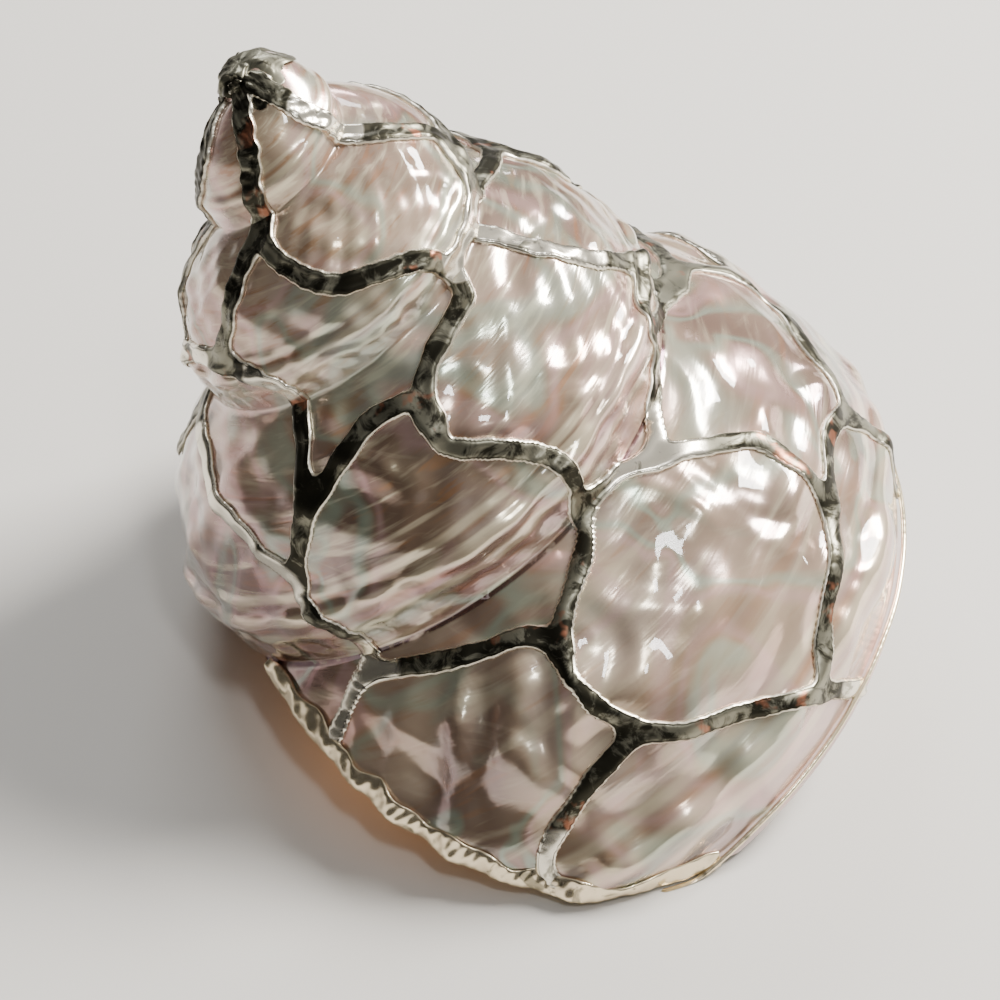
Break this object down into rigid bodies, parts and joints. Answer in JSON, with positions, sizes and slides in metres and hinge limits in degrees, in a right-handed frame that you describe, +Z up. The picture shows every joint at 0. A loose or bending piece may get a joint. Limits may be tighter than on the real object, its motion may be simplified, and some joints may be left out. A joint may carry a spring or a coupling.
{
  "type": "polished turban shell with a soldered silver net",
  "caption": "Polished pearly turban shell, coiled to the right, wrapped in a net of soldered silver bands with a capped tip and a bound lip; rests on its open base.",
  "frame": {"origin": "bottom centre of the bounding box, on the surface that the shell rests on", "axes": "+Z up from the resting surface, +Y away from the side with the lip, +X towards the rounded side of the last whorl; the tip leans towards -X"},
  "size_m": [0.0926, 0.099, 0.0824],
  "materials": {
    "nacre": "polished pearl",
    "silver": "hammered, tarnished"
  },
  "bodies": {
    "root": {"shell": "nacre", "silver_net": "silver", "lip_binding": "silver"}
  },
  "joints": []
}
